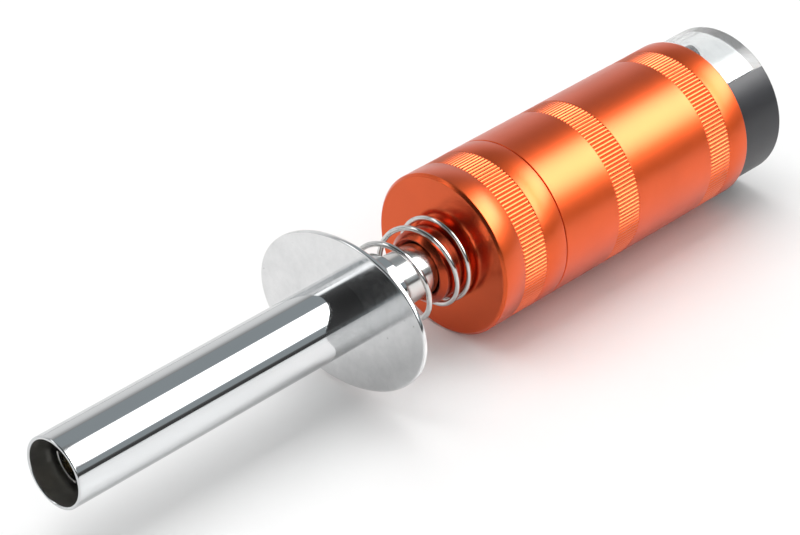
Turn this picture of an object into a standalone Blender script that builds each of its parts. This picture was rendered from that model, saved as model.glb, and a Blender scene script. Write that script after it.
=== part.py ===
"""Glow plug igniter with an ammeter in its tail, lying on its barrel.

The igniter's axis is world +X, from the open nose to the meter. Every turned piece is drawn in the
axis frame: local +Z is the axis, and a station is a distance along it from the nose's open rim.
Lengths are in metres.
"""

import math

import bmesh
import bpy
from mathutils import Matrix

# Driving dimensions
LENGTH = 0.1608
BODY_R = 0.0150
BODY_STEPS = 64
SLEEVE_R = 0.00641
SLEEVE_BORE_R = 0.0058
CLIP_R = 0.00475
CLIP_BORE_R = 0.0042
GAP = 0.00015
CHAMFER = 0.0005
SEAM_EDGE = 0.00018

# Stations along the axis, from the nose's rim
FLANGE_AT = 0.0629
FLANGE_THICK = 0.0010
SLEEVE_END = 0.0730
CLIP_START = 0.0046
CLIP_END = 0.0920
HUB_FACE = 0.0809
CAP_FACE = 0.0871
CAP_END = 0.1025
BARREL_START = 0.10265
BARREL_END = 0.1509
METER_END = LENGTH

# Finger flange: an oval plate
FLANGE_LONG_R = 0.0195
FLANGE_SHORT_R = 0.0141
FLANGE_ROLL = math.radians(-8.9)

# Cap
HUB_R = 0.00660
SPIGOT_R = 0.0127
SPIGOT_END = 0.1098
CAP_BORE_R = 0.0115
CAP_STEP = 0.0902
CAP_CAVITY = 0.0946

# Knurled bands: (start, end) of each, and the shape of their ridges
CAP_KNURL = (0.09215, 0.09755)
MIDDLE_KNURL = (0.11595, 0.12135)
REAR_KNURL = (0.14050, 0.14570)
RIDGES = 128
RIDGE_TIP_R = BODY_R - 0.00004
RIDGE_ROOT_R = BODY_R - 0.00042
RECESS_R = BODY_R - 0.0007

# Return spring
SPRING_R = 0.0076
SPRING_WIRE = 0.0010
SPRING_PITCH = 0.00687
CLOSED_PITCH = 0.00115

# Battery: one Sub-C cell
CELL_R = 0.0109
CELL_START = 0.0993
CELL_END = 0.1405

# Meter
METER_R = 0.0141
METER_WALL = 0.0016
METER_SEAT = 0.1462
METER_FLOOR = 0.1506
WINDOW_END_WALL = 0.0028
METER_ROLL = math.radians(-50.0)
SPLIT = 0.0001
PIVOT_DROP = 0.0025
POST_R = 0.0020
POST_PLACES = [(0.0099, 58.0), (0.0099, 122.0)]
NEEDLE_REST = math.radians(40.0)


def clear_scene():
    for obj in list(bpy.data.objects):
        bpy.data.objects.remove(obj, do_unlink=True)


def new_collection(name):
    collection = bpy.data.collections.new(name)
    bpy.context.scene.collection.children.link(collection)
    return collection


def surface(name, colour, roughness, metallic=0.0, transmission=0.0):
    """A Principled material."""
    material = bpy.data.materials.new(name)
    material.use_nodes = True
    shader = material.node_tree.nodes["Principled BSDF"]
    shader.inputs["Base Color"].default_value = (*colour, 1.0)
    shader.inputs["Roughness"].default_value = roughness
    shader.inputs["Metallic"].default_value = metallic
    shader.inputs["Transmission Weight"].default_value = transmission
    return material


def add_object(name, data, parent, at=0.0, material=None, helper=False):
    """Links an object into its collection and places it on the axis of its parent."""
    obj = bpy.data.objects.new(name, data)
    (CUTTERS if helper else PARTS).objects.link(obj)
    obj.parent = parent
    obj.location.z = at
    if material:
        data.materials.append(material)
    if helper:
        obj.hide_render = True
        obj.display_type = "WIRE"
    return obj


def axis_empty(name, matrix, parent=None):
    empty = bpy.data.objects.new(name, None)
    PARTS.objects.link(empty)
    empty.parent = parent
    empty.matrix_local = matrix
    return empty


def polar(radius, degrees):
    """A point across the axis: 0 degrees is world +Y and 90 is world +Z, before any roll."""
    angle = math.radians(degrees)
    return -radius * math.sin(angle), radius * math.cos(angle)


def turned(name, parent, at, profile, material=None, steps=BODY_STEPS, helper=False):
    """A body of revolution. Its profile is (distance from at, radius), along the outside from the
    nose end to the meter end, then back along the bore. One that starts and ends on radius 0 is
    solid."""
    solid = profile[0][1] == 0.0 and profile[-1][1] == 0.0
    points = [(radius, 0.0, along) for along, radius in reversed(profile)]
    edges = [(i, i + 1) for i in range(len(points) - 1)]
    if not solid:
        edges.append((len(points) - 1, 0))
    mesh = bpy.data.meshes.new(name)
    mesh.from_pydata(points, edges, [])
    obj = add_object(name, mesh, parent, at, material, helper)
    screw = obj.modifiers.new("Screw", "SCREW")
    screw.axis = "Z"
    screw.angle = math.tau
    screw.steps = steps
    screw.render_steps = steps
    screw.use_merge_vertices = True
    screw.merge_threshold = 0.00001
    screw.use_smooth_shade = True
    return obj


def ring(name, parent, at, length, outer, inner, material, steps=BODY_STEPS, helper=False):
    """A plain tube or washer with square edges."""
    profile = [(0.0, outer), (length, outer), (length, inner), (0.0, inner)]
    return turned(name, parent, at, profile, material, steps, helper)


def rod(name, parent, at, length, radius, material=None, steps=24, helper=False):
    """A plain solid cylinder."""
    profile = [(0.0, 0.0), (0.0, radius), (length, radius), (length, 0.0)]
    return turned(name, parent, at, profile, material, steps, helper)


def wire(name, parent, at, points, thickness, material, sides=2):
    """A round wire through the points."""
    curve = bpy.data.curves.new(name, "CURVE")
    curve.dimensions = "3D"
    curve.bevel_depth = thickness / 2
    curve.bevel_resolution = sides
    curve.use_fill_caps = True
    spline = curve.splines.new("POLY")
    spline.points.add(len(points) - 1)
    for target, point in zip(spline.points, points):
        target.co = (*point, 1.0)
        target.radius = 1.0
    return add_object(name, curve, parent, at, material)


def plate(name, parent, at, thickness, outlines, material=None, edge=0.0, helper=False):
    """A flat plate across the axis, from its outline and the outlines of its holes."""
    curve = bpy.data.curves.new(name, "CURVE")
    curve.dimensions = "2D"
    curve.fill_mode = "BOTH"
    curve.extrude = thickness / 2 - edge
    curve.bevel_depth = edge
    curve.bevel_resolution = 0
    curve.offset = -edge
    for outline in outlines:
        spline = curve.splines.new("POLY")
        spline.points.add(len(outline) - 1)
        spline.use_cyclic_u = True
        for target, (x, y) in zip(spline.points, outline):
            target.co = (x, y, 0.0, 1.0)
    flat = add_object(name, curve, parent, helper=helper)
    mesh = bpy.data.meshes.new_from_object(flat)
    tidy = bmesh.new()
    tidy.from_mesh(mesh)
    bmesh.ops.remove_doubles(tidy, verts=tidy.verts, dist=0.0000005)
    tidy.to_mesh(mesh)
    tidy.free()
    bpy.data.objects.remove(flat, do_unlink=True)
    return add_object(name, mesh, parent, at + thickness / 2, material, helper)


def block(name, parent, low, high):
    """A box-shaped cutter between two corners in the parent's frame."""
    mesh = bpy.data.meshes.new(name)
    shape = bmesh.new()
    bmesh.ops.create_cube(shape, size=1.0)
    size = [b - a for a, b in zip(low, high)]
    bmesh.ops.scale(shape, vec=size, verts=shape.verts)
    shape.to_mesh(mesh)
    shape.free()
    obj = add_object(name, mesh, parent, helper=True)
    obj.location = [(a + b) / 2 for a, b in zip(low, high)]
    return obj


def combine(obj, other, operation):
    boolean = obj.modifiers.new(other.name, "BOOLEAN")
    boolean.operation = operation
    boolean.solver = "EXACT"
    boolean.object = other


def circle(radius, count=BODY_STEPS, centre=(0.0, 0.0), long_radius=None):
    """Points round a circle, or round an oval that is longer across the second axis."""
    tall = long_radius or radius
    turns = [math.tau * i / count for i in range(count)]
    return [(centre[0] + radius * math.cos(t), centre[1] + tall * math.sin(t)) for t in turns]


def rectangle(across, half_across, half_along):
    """Corners of a rectangle whose middle is at distance across on the first axis."""
    near, far = across - half_across, across + half_across
    return [(near, -half_along), (far, -half_along), (far, half_along), (near, half_along)]


def helix(radius_at, height_at, start_turn, end_turn, per_turn, phase=0.0):
    """Points along a coil whose radius and height are functions of the turn."""
    count = round((end_turn - start_turn) * per_turn)
    points = []
    for i in range(count + 1):
        turn = start_turn + (end_turn - start_turn) * i / count
        angle = phase + math.tau * turn
        radius = radius_at(turn)
        points.append((radius * math.cos(angle), radius * math.sin(angle), height_at(turn)))
    return points


def add_knurl(obj, parent, band):
    """Fills a recess of a turned body with a ring of fine straight ridges."""
    start, end = band
    bite = 0.00005
    outline = []
    for i in range(2 * RIDGES):
        radius = RIDGE_TIP_R if i % 2 else RIDGE_ROOT_R
        angle = math.tau * (i + 0.5) / (2 * RIDGES)
        outline.append((radius * math.cos(angle), radius * math.sin(angle)))
    bore = circle(RECESS_R - 0.0006)
    name = f"{obj.name}_knurl_{round(start * 1000)}"
    ridges = plate(name, parent, start - bite, end - start + 2 * bite, [outline, bore], helper=True)
    combine(obj, ridges, "UNION")


def recess(band, offset):
    """Profile points of a knurl's recess, from the start of the body at offset."""
    start, end = band[0] - offset, band[1] - offset
    return [(start, BODY_R), (start, RECESS_R), (end, RECESS_R), (end, BODY_R)]


def spring_height(turn):
    """Height along the return spring: open coils in the middle, closed ones at both ends."""
    open_turns, ramp_turns = 0.9, 1.0
    distance = abs(turn)
    height = SPRING_PITCH * min(distance, open_turns)
    ramp = min(max(distance - open_turns, 0.0), ramp_turns)
    height += SPRING_PITCH * ramp - (SPRING_PITCH - CLOSED_PITCH) * ramp**2 / (2 * ramp_turns)
    height += CLOSED_PITCH * max(distance - open_turns - ramp_turns, 0.0)
    return math.copysign(height, turn)


def build_sleeve(axis):
    """The polished outer sleeve, its finger flange and its guide bush, which slide together."""
    lip = 0.00015
    length = SLEEVE_END
    profile = [
        (0.0, SLEEVE_R - lip),
        (lip, SLEEVE_R),
        (length - lip, SLEEVE_R),
        (length, SLEEVE_R - lip),
        (length, SLEEVE_BORE_R + lip),
        (length - lip, SLEEVE_BORE_R),
        (lip, SLEEVE_BORE_R),
        (0.0, SLEEVE_BORE_R + lip),
    ]
    turned("outer_sleeve", axis, 0.0, profile, CHROME)
    outlines = [
        circle(FLANGE_SHORT_R, 96, long_radius=FLANGE_LONG_R),
        circle(SLEEVE_R + 0.0003, 48),
    ]
    flange = plate("finger_flange", axis, FLANGE_AT, FLANGE_THICK, outlines, POLISHED, 0.0002)
    flange.rotation_euler.z = FLANGE_ROLL
    bush_length = 0.0050
    ring(
        "sleeve_guide_bush", axis, SLEEVE_END - bush_length - 0.0001, bush_length,
        SLEEVE_BORE_R - GAP, CLIP_R + GAP, NYLON,
    )


def build_return_spring(axis):
    middle = (FLANGE_AT + FLANGE_THICK + CAP_FACE) / 2
    points = helix(
        lambda turn: SPRING_R, spring_height, -2.6, 2.6, per_turn=20, phase=math.radians(226.6)
    )
    wire("return_spring", axis, middle, points, SPRING_WIRE, SPRING_STEEL)


def build_clip(axis):
    """The inner clip tube with its spring fingers, and the ring that stops the sleeve."""
    length = CLIP_END - CLIP_START
    flange, flange_r = 0.0016, 0.0065
    bead = 0.0003
    profile = [
        (0.0, CLIP_R - 0.0001),
        (0.0001, CLIP_R),
        (0.0022, CLIP_R),
        (0.0030, CLIP_R - bead),
        (0.0038, CLIP_R),
        (length - flange, CLIP_R),
        (length - flange, flange_r),
        (length, flange_r),
        (length, CLIP_BORE_R),
        (0.0038, CLIP_BORE_R),
        (0.0030, CLIP_BORE_R - bead),
        (0.0022, CLIP_BORE_R),
        (0.0, CLIP_BORE_R + 0.0002),
    ]
    tube = turned("clip_tube", axis, CLIP_START, profile, NICKEL, steps=48)
    slot, reach, slot_end = 0.0004, 0.006, 0.0240
    wide = block("slot_wide", axis, (-slot, -reach, 0.0), (slot, reach, slot_end))
    tall = block("slot_tall", axis, (-reach, -slot, 0.0), (reach, slot, slot_end))
    for cutter in (wide, tall):
        combine(tube, cutter, "DIFFERENCE")
    stop_at, stop_length, stop_r = 0.0666, 0.0010, 0.0055
    ring(
        "clip_stop_ring", axis, stop_at, stop_length, stop_r, CLIP_R + 0.0001, SPRING_STEEL,
        steps=48,
    )
    nut_length, nut_r = 0.0023, 0.0068
    ring(
        "clip_retaining_nut", axis, CLIP_END + 0.0001, nut_length, nut_r, CLIP_BORE_R, BRASS,
        steps=32,
    )


def build_contacts(axis):
    """The centre contact: a sprung pin in its insulators, and the stud that meets the battery."""
    body_r, flange_r, bore_r, nose_bore_r = CLIP_BORE_R - GAP, 0.0090, 0.0027, 0.0018
    ring("tip_insulator", axis, 0.0270, 0.0040, body_r, nose_bore_r, NYLON, steps=32)
    start, length, nose, flange = 0.0600, 0.0357, 0.0020, 0.0010
    profile = [
        (0.0, body_r),
        (length - flange, body_r),
        (length - flange, flange_r),
        (length, flange_r),
        (length, bore_r),
        (nose, bore_r),
        (nose, nose_bore_r),
        (0.0, nose_bore_r),
    ]
    turned("contact_insulator", axis, start, profile, NYLON, steps=32)

    pin_start, pin_end, pin_r, head_r = 0.0090, 0.0660, 0.0015, 0.0024
    head_start, head_end = start + nose + 0.0001 - pin_start, pin_end - pin_start
    profile = [
        (0.0004, 0.0),
        (0.0, 0.0009),
        (0.0002, pin_r),
        (head_start, pin_r),
        (head_start, head_r),
        (head_end, head_r),
        (head_end, 0.0),
    ]
    turned("contact_pin", axis, pin_start, profile, BRASS, steps=24)

    stud_start, stud_length, stud_head, stud_head_r = 0.0842, 0.0133, 0.0017, 0.0055
    profile = [
        (0.0, 0.0),
        (0.0, head_r),
        (stud_length - stud_head, head_r),
        (stud_length - stud_head, stud_head_r),
        (stud_length, stud_head_r),
        (stud_length, 0.0),
    ]
    turned("contact_stud", axis, stud_start, profile, BRASS, steps=24)

    coil_wire, coil_r, turns = 0.0005, 0.0018, 8.0
    low = pin_end + coil_wire / 2 + 0.0001
    high = stud_start - coil_wire / 2 - 0.0001
    points = helix(
        lambda turn: coil_r, lambda turn: (high - low) * turn / turns, 0.0, turns, per_turn=10
    )
    wire("contact_spring", axis, low, points, coil_wire, SPRING_STEEL, sides=1)


def build_cap(axis):
    """The front cap: hub, knurled grip and the threaded spigot that screws into the barrel."""
    at = HUB_FACE
    hub_chamfer = 0.0010
    groove_r, groove_end = 0.01205, 0.1040
    hub_bore_r, nut_bore_r = CLIP_R + 0.0002, 0.0070
    profile = [
        (0.0, HUB_R - hub_chamfer),
        (hub_chamfer, HUB_R),
        (CAP_FACE - at, HUB_R),
        (CAP_FACE - at, BODY_R - CHAMFER),
        (CAP_FACE - at + CHAMFER, BODY_R),
        *recess(CAP_KNURL, at),
        (CAP_END - at - SEAM_EDGE, BODY_R),
        (CAP_END - at, BODY_R - SEAM_EDGE),
        (CAP_END - at, groove_r),
        (groove_end - at, groove_r),
        (groove_end - at, SPIGOT_R),
        (SPIGOT_END - at - CHAMFER, SPIGOT_R),
        (SPIGOT_END - at, SPIGOT_R - CHAMFER),
        (SPIGOT_END - at, CAP_BORE_R),
        (CAP_CAVITY - at, CAP_BORE_R),
        (CAP_CAVITY - at, nut_bore_r),
        (CAP_STEP - at, nut_bore_r),
        (CAP_STEP - at, hub_bore_r),
        (0.0, hub_bore_r),
    ]
    cap = turned("front_cap", axis, at, profile, ORANGE)
    add_knurl(cap, axis, CAP_KNURL)


def build_cap_seal(axis):
    """The O-ring in the spigot's groove."""
    section, centre_r = 0.0005, 0.01265
    sides = 8
    profile = []
    for i in range(sides):
        angle = math.pi - math.tau * i / sides
        profile.append((section * math.cos(angle), centre_r + section * math.sin(angle)))
    turned("cap_seal", axis, 0.10325, profile, SEAL_RUBBER, steps=48)


def build_barrel(axis):
    at = BARREL_START
    rear_chamfer = 0.0006
    bore_r, thread_r, relief_r = 0.0116, 0.0130, 0.0133
    thread_start, thread_end = 0.1042 - at, 0.1106 - at
    profile = [
        (0.0, BODY_R - SEAM_EDGE),
        (SEAM_EDGE, BODY_R),
        *recess(MIDDLE_KNURL, at),
        *recess(REAR_KNURL, at),
        (BARREL_END - at - rear_chamfer, BODY_R),
        (BARREL_END - at, BODY_R - rear_chamfer),
        (BARREL_END - at, METER_R + GAP),
        (METER_SEAT - at, METER_R + GAP),
        (METER_SEAT - at, bore_r),
        (thread_end, bore_r),
        (thread_end, thread_r),
        (thread_start, thread_r),
        (thread_start, relief_r),
        (0.0, relief_r),
    ]
    barrel = turned("barrel", axis, at, profile, ORANGE)
    for band in (MIDDLE_KNURL, REAR_KNURL):
        add_knurl(barrel, axis, band)


def build_battery(axis):
    """One Sub-C cell, its wrap and the parts at its two ends."""
    length = CELL_END - CELL_START
    shoulder = 0.0008
    profile = [
        (0.0, 0.0),
        (0.0, CELL_R - shoulder),
        (shoulder, CELL_R),
        (length, CELL_R),
        (length, 0.0),
    ]
    turned("battery_can", axis, CELL_START, profile, NICKEL, steps=48)
    wrap, lip_r, clear = 0.0002, 0.0090, 0.0001
    start = CELL_START - wrap - clear
    span = length + 2 * wrap + 2 * clear
    profile = [
        (0.0, lip_r),
        (0.0, CELL_R + clear + wrap),
        (span, CELL_R + clear + wrap),
        (span, lip_r),
        (span - wrap, lip_r),
        (span - wrap, CELL_R + clear),
        (wrap, CELL_R + clear),
        (wrap, lip_r),
    ]
    turned("battery_wrap", axis, start, profile, WRAP, steps=48)
    ring("battery_gasket", axis, 0.0988, 0.0004, 0.0088, 0.0042, FIBRE, steps=32)
    nub = [(0.0, 0.0), (0.0, 0.0030), (0.0004, 0.0036), (0.0016, 0.0036), (0.0016, 0.0)]
    turned("battery_terminal", axis, 0.0976, nub, NICKEL, steps=24)

    coil_wire, turns, wide_r, taper = 0.0008, 2.5, 0.0075, 0.0014
    low = CELL_END + wrap + clear + coil_wire / 2
    high = METER_SEAT - coil_wire / 2
    points = helix(
        lambda turn: wide_r - taper * turn,
        lambda turn: (high - low) * turn / turns,
        0.0, turns, per_turn=14,
    )
    wire("battery_spring", axis, low, points, coil_wire, BRASS, sides=1)
    plate_at, plate_thick = METER_SEAT + 0.0001, 0.0005
    rod("rear_contact_plate", axis, plate_at, plate_thick, 0.0060, BRASS, steps=32)
    ring("ground_ring", axis, plate_at, plate_thick, METER_R - 0.0001, 0.0119, BRASS)


def build_meter_case(dial):
    """The dark meter base, the clear window that closes its other half, and the scale plate.

    In the dial's frame local -X is up the dial, so the window is on the -X side."""
    base_start = METER_SEAT + 0.0007
    edge = 0.0003
    length = METER_END - base_start
    outer = [
        (0.0, 0.0),
        (0.0, METER_R),
        (length - edge, METER_R),
        (length, METER_R - edge),
        (length, 0.0),
    ]
    base = turned("meter_base", dial, base_start, outer, DARK_PLASTIC)
    reach, past = 0.02, 0.001
    window_side = block(
        "window_side", dial, (-reach, -reach, METER_FLOOR), (SPLIT, reach, METER_END + past)
    )
    combine(base, window_side, "DIFFERENCE")
    well_floor = METER_FLOOR - 0.0004
    well = rod(
        "movement_well", dial, well_floor, METER_END - 0.0015 - well_floor,
        METER_R - METER_WALL, steps=48, helper=True,
    )
    combine(base, well, "DIFFERENCE")
    for number, place in enumerate(POST_PLACES, 1):
        post = rod(f"post_{number}", dial, METER_FLOOR - 0.0015, 0.0067, POST_R, helper=True)
        post.location.x, post.location.y = polar(*place)
        combine(base, post, "UNION")

    window_start = METER_FLOOR + 0.0001
    length = METER_END - window_start
    outer = [
        (0.0, 0.0),
        (0.0, METER_R),
        (length - edge, METER_R),
        (length, METER_R - edge),
        (length, 0.0),
    ]
    window = turned("meter_window", dial, window_start, outer, CLEAR_PLASTIC)
    base_side = block(
        "base_side", dial, (-SPLIT, -reach, METER_FLOOR - past), (reach, reach, METER_END + past)
    )
    combine(window, base_side, "DIFFERENCE")
    hollow = rod(
        "window_hollow", dial, METER_FLOOR - past,
        METER_END - WINDOW_END_WALL - METER_FLOOR + past, METER_R - METER_WALL,
        steps=48, helper=True,
    )
    combine(window, hollow, "DIFFERENCE")

    scale_r = METER_R - METER_WALL - 0.0006
    arc = [polar(scale_r, degrees) for degrees in range(0, 181, 6)]
    scale = [(x - 0.0002, y) for x, y in arc]
    holes = [circle(POST_R + GAP, 20, centre=polar(*place)) for place in POST_PLACES]
    plate("scale_plate", dial, METER_FLOOR + 0.0004, 0.0004, [scale, *holes], WHITE_CARD)


def build_movement(dial, pivot):
    """The ammeter's fixed coil and magnet, and the spindle, vane and needle that turn in them."""
    coil = [
        (0.0, 0.0046),
        (0.0026, 0.0046),
        (0.0026, 0.0030),
        (0.0, 0.0030),
    ]
    turned("meter_coil", pivot, METER_FLOOR + 0.0034, coil, COPPER, steps=24)
    magnet = rectangle(0.0090, 0.0012, 0.0040)
    plate("control_magnet", dial, METER_FLOOR + 0.0034, 0.0024, [magnet], DARK_STEEL)
    bridge = rectangle(PIVOT_DROP, 0.0013, 0.0118)
    bearing = circle(0.0006, 12, centre=(PIVOT_DROP, 0.0))
    plate("bearing_bridge", dial, METER_FLOOR + 0.0070, 0.0006, [bridge, bearing], BRASS)
    spindle_r = 0.0004
    rod("needle_spindle", pivot, METER_FLOOR + 0.0002, 0.0078, spindle_r, NICKEL, steps=12)
    ring(
        "needle_vane", pivot, METER_FLOOR + 0.0038, 0.0018, 0.0024, spindle_r + 0.0001,
        DARK_STEEL, steps=20,
    )

    length, tail, root, tip, hub = 0.0096, 0.0030, 0.00055, 0.00018, 0.0012
    outline = [(-length, -tip), (-length, tip), (-hub, root), (0.0, hub), (tail, root)]
    outline += [(tail, -root), (0.0, -hub), (-hub, -root)]
    bore = circle(spindle_r + 0.0001, 12)
    needle = plate(
        "meter_needle", pivot, METER_FLOOR + 0.0020, 0.0004, [outline, bore], RED_PAINT
    )
    needle.rotation_euler.z = NEEDLE_REST


clear_scene()
PARTS = new_collection("glow_plug_igniter")
CUTTERS = new_collection("cutters")

CHROME = surface("chrome", (0.82, 0.83, 0.84), 0.06, metallic=1.0)
POLISHED = surface("polished_aluminium", (0.78, 0.78, 0.79), 0.18, metallic=1.0)
ORANGE = surface("orange_anodised", (0.78, 0.16, 0.045), 0.28, metallic=1.0)
SPRING_STEEL = surface("spring_steel", (0.62, 0.61, 0.58), 0.22, metallic=1.0)
NICKEL = surface("nickel_plate", (0.72, 0.71, 0.68), 0.15, metallic=1.0)
BRASS = surface("brass", (0.72, 0.50, 0.20), 0.28, metallic=1.0)
COPPER = surface("copper", (0.72, 0.30, 0.15), 0.35, metallic=1.0)
DARK_STEEL = surface("dark_steel", (0.10, 0.10, 0.11), 0.4, metallic=0.9)
NYLON = surface("nylon", (0.75, 0.73, 0.66), 0.45)
SEAL_RUBBER = surface("seal_rubber", (0.02, 0.02, 0.02), 0.6)
FIBRE = surface("fibre", (0.45, 0.10, 0.06), 0.7)
WRAP = surface("battery_wrap", (0.05, 0.28, 0.12), 0.3)
DARK_PLASTIC = surface("dark_plastic", (0.055, 0.055, 0.062), 0.5)
CLEAR_PLASTIC = surface("clear_plastic", (0.95, 0.97, 0.97), 0.05, transmission=1.0)
WHITE_CARD = surface("white_card", (0.85, 0.85, 0.83), 0.6)
RED_PAINT = surface("red_paint", (0.60, 0.02, 0.02), 0.4)

half_facet = math.pi / BODY_STEPS
axis_height = BODY_R * math.cos(half_facet)
axis_frame = (
    Matrix.Translation((-LENGTH / 2, 0.0, axis_height)) @ Matrix.Rotation(math.pi / 2, 4, "Y")
)
igniter_axis = axis_empty("igniter_axis", axis_frame)
body_axis = axis_empty("body_axis", Matrix.Rotation(half_facet, 4, "Z"), igniter_axis)
dial_axis = axis_empty("dial_axis", Matrix.Rotation(METER_ROLL, 4, "Z"), igniter_axis)
needle_axis = axis_empty(
    "needle_axis", Matrix.Translation((PIVOT_DROP, 0.0, 0.0)), dial_axis
)

build_sleeve(igniter_axis)
build_return_spring(igniter_axis)
build_clip(igniter_axis)
build_contacts(igniter_axis)
build_cap(body_axis)
build_cap_seal(body_axis)
build_barrel(body_axis)
build_battery(body_axis)
build_meter_case(dial_axis)
build_movement(dial_axis, needle_axis)
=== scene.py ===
"""The looks of the glow plug igniter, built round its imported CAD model.

Lengths are in metres in the CAD's frame. A station is a distance along the igniter's axis from the
nose's open rim, and a polar angle goes round that axis from +Y through +Z.
"""

import math

import bmesh
import bpy
from mathutils import Matrix, Vector


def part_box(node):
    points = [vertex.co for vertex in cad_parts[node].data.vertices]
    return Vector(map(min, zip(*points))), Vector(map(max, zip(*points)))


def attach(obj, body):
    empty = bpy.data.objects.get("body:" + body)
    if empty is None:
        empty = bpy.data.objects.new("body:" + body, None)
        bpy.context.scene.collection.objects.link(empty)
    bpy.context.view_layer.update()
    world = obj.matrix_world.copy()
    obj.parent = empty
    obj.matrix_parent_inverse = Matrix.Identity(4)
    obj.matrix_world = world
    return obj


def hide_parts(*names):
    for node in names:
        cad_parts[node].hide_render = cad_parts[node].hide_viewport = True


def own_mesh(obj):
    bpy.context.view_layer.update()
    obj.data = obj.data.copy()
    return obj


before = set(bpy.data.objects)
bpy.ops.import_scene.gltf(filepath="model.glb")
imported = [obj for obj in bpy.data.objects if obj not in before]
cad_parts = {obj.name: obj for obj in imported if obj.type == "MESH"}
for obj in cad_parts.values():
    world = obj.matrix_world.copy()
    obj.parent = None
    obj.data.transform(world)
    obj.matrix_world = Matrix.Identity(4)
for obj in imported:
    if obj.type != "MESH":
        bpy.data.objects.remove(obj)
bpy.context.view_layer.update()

# The axis, from the CAD's own boxes
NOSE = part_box("outer_sleeve")[0].x
AXIS_Z = (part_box("barrel")[0].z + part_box("barrel")[1].z) / 2

# Radii and stations that the CAD model is built on
BODY_R = AXIS_Z
SLEEVE_R = 0.00641
SLEEVE_BORE_R = 0.0058
SLEEVE_END = 0.0730
FLANGE_AT = 0.0629
FLANGE_THICK = 0.0010
FLANGE_BACK = FLANGE_AT + FLANGE_THICK
FLANGE_LONG_R = 0.0195
FLANGE_SHORT_R = 0.0141
FLANGE_POLAR = -8.9
CLIP_START = 0.0046
CLIP_END = 0.0920
CLIP_R = 0.00475
CLIP_BORE_R = 0.0042
HUB_FACE = 0.0809
HUB_R = 0.0066
CAP_FACE = 0.0871
CAP_END = 0.1025
CAP_BORE_R = 0.0115
BARREL_START = 0.10265
BARREL_END = 0.1509
METER_R = 0.0141
METER_SEAT = 0.1462
METER_FLOOR = 0.1506
METER_END = 0.1608
METER_WALL = 0.0016
WINDOW_WALL = 0.0012
DIAL_UP = 40.0
PIVOT_DROP = 0.0025
KNURLS = {"cap": (0.09215, 0.09755), "middle": (0.11595, 0.12135), "rear": (0.1405, 0.1457)}
RIDGES = 128
THREAD_PITCH = 0.00125

# A profile point nearer to the axis than this is on it
ON_AXIS_R = 1e-7


def place(station, radius, polar):
    """A point in the row frame from its station, its distance from the axis and its polar angle."""
    angle = math.radians(polar)
    return (
        NOSE + station,
        radius * math.cos(angle),
        AXIS_Z + radius * math.sin(angle),
    )


def link(name, data):
    """A new object in the scene for a mesh, a light or a camera."""
    obj = bpy.data.objects.new(name, data)
    bpy.context.scene.collection.objects.link(obj)
    return obj


def rounded(corners, segments=3):
    """Profile points from corners (station, radius, fillet), each fillet turned into an arc."""
    points = []
    for i, (station, radius, fillet) in enumerate(corners):
        here = Vector((station, radius))
        if fillet == 0.0:
            points.append((station, radius))
            continue
        before = (Vector(corners[i - 1][:2]) - here).normalized()
        after = (Vector(corners[(i + 1) % len(corners)][:2]) - here).normalized()
        half = before.angle(after) / 2
        centre = here + (before + after).normalized() * (fillet / math.sin(half))
        reach = fillet / math.tan(half)
        start = (here + before * reach - centre).normalized()
        end = (here + after * reach - centre).normalized()
        for k in range(segments + 1):
            points.append(tuple(centre + start.slerp(end, k / segments) * fillet))
    return points


def finished(name, verts, faces, material, body, slot, stands_for=()):
    """A shaded mesh object that rides on its body."""
    mesh = bpy.data.meshes.new(name)
    mesh.from_pydata(verts, [], faces)
    tidy = bmesh.new()
    tidy.from_mesh(mesh)
    bmesh.ops.recalc_face_normals(tidy, faces=tidy.faces)
    tidy.to_mesh(mesh)
    tidy.free()
    mesh.shade_smooth()
    mesh.set_sharp_from_angle(angle=math.radians(40))
    mesh.materials.append(material)
    obj = link(name, mesh)
    weighted = obj.modifiers.new("Weighted normals", "WEIGHTED_NORMAL")
    weighted.keep_sharp = True
    dress(obj, body, stands_for)
    return obj


def dress(obj, body, stands_for=()):
    """Hangs the piece on its body and hides the CAD nodes it stands for."""
    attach(obj, body)
    if stands_for:
        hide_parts(*stands_for)


def turned_mesh(profile, steps, start=0.0, sweep=360.0, radius_at=None):
    """Vertices and faces of a body turned about the igniter's axis from a closed profile."""
    full = sweep == 360.0
    columns = steps if full else steps + 1
    polars = [start + sweep * i / steps for i in range(columns)]
    verts, rows, faces = [], [], []
    for station, radius in profile:
        if radius < ON_AXIS_R:
            rows.append([len(verts)] * columns)
            verts.append(place(station, 0.0, 0.0))
            continue
        rows.append(list(range(len(verts), len(verts) + columns)))
        for polar in polars:
            r = radius_at(station, polar, radius) if radius_at else radius
            verts.append(place(station, r, polar))
    for k, row in enumerate(rows):
        other = rows[(k + 1) % len(rows)]
        for i in range(steps):
            j = (i + 1) % columns
            corners = dict.fromkeys((row[i], row[j], other[j], other[i]))
            if len(corners) > 2:
                faces.append(tuple(corners))
    if not full:
        faces.append(tuple(row[0] for row in rows))
        faces.append(tuple(row[-1] for row in reversed(rows)))
    return verts, faces


def turned(name, profile, steps, material, body, slot, stands_for=(), **more):
    """A finished piece turned from a profile."""
    verts, faces = turned_mesh(profile, steps, **more)
    return finished(name, verts, faces, material, body, slot, stands_for)


def joined(meshes):
    """One list of vertices and one of faces from several."""
    verts, faces = [], []
    for some_verts, some_faces in meshes:
        base = len(verts)
        verts += some_verts
        faces += [tuple(base + i for i in face) for face in some_faces]
    return verts, faces


# ---------------------------------------------------------------- materials


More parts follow.
